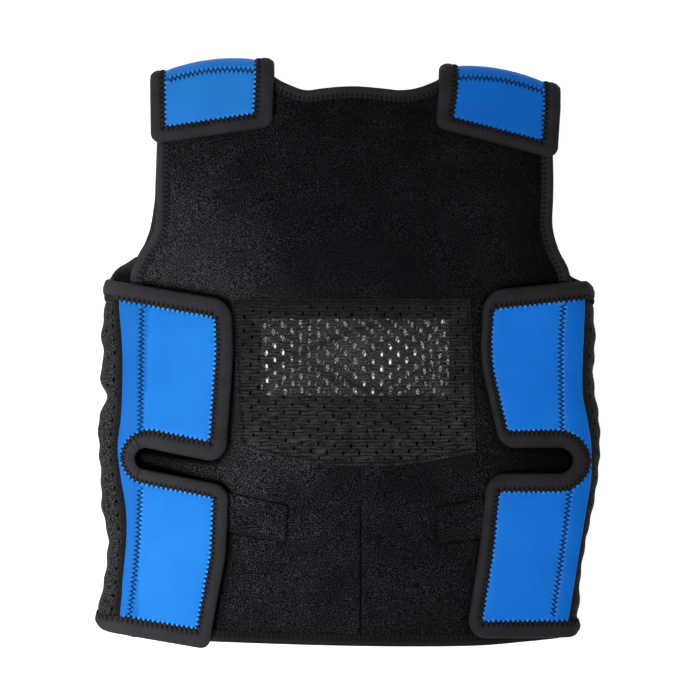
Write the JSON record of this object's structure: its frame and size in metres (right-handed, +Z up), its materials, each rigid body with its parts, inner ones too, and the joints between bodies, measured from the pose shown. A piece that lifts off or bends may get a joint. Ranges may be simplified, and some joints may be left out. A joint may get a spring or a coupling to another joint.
{
  "type": "weighted vest",
  "caption": "Child's neoprene weighted vest, lying face up, with shoulder tabs, split side tabs on mesh gussets, bound edges and a mesh midriff window.",
  "frame": {"origin": "middle of the vest's footprint, on the surface that it lies on", "axes": "+X to the right of someone looking down at the front panel, +Y from the hem to the shoulders, +Z up from the surface"},
  "size_m": [0.3554, 0.4128, 0.0396],
  "materials": {
    "loop_neoprene": "matt brushed loop face",
    "blue_neoprene": "smooth knit face with a slight sheen",
    "binding": "soft stretch binding, zigzag stitched",
    "sports_mesh": "open sports mesh",
    "hook_tape": "matt hook tape"
  },
  "bodies": {
    "root": {"back_panel": "loop_neoprene", "front_panel": "loop_neoprene", "front_window_mesh": "sports_mesh", "back_window_mesh": "sports_mesh", "neck_binding": "binding", "hem_binding": "binding", "back_neck_binding": "binding", "back_hem_binding": "binding", "armhole_binding_left": "binding", "armhole_binding_right": "binding", "back_armhole_binding_left": "binding", "back_armhole_binding_right": "binding", "side_mesh_left": "sports_mesh", "side_mesh_right": "sports_mesh", "side_tab_left": "blue_neoprene", "side_tab_right": "blue_neoprene", "side_tab_binding_left": "binding", "side_tab_binding_right": "binding", "upper_hook_patch_left": "hook_tape", "upper_hook_patch_right": "hook_tape", "lower_hook_patch_left": "hook_tape", "lower_hook_patch_right": "hook_tape", "shoulder_tab_left": "blue_neoprene", "shoulder_tab_right": "blue_neoprene", "shoulder_binding_left": "binding", "shoulder_binding_right": "binding", "shoulder_hook_patch_left": "hook_tape", "shoulder_hook_patch_right": "hook_tape", "pocket_patch_left": "loop_neoprene", "pocket_patch_right": "loop_neoprene"}
  },
  "joints": []
}
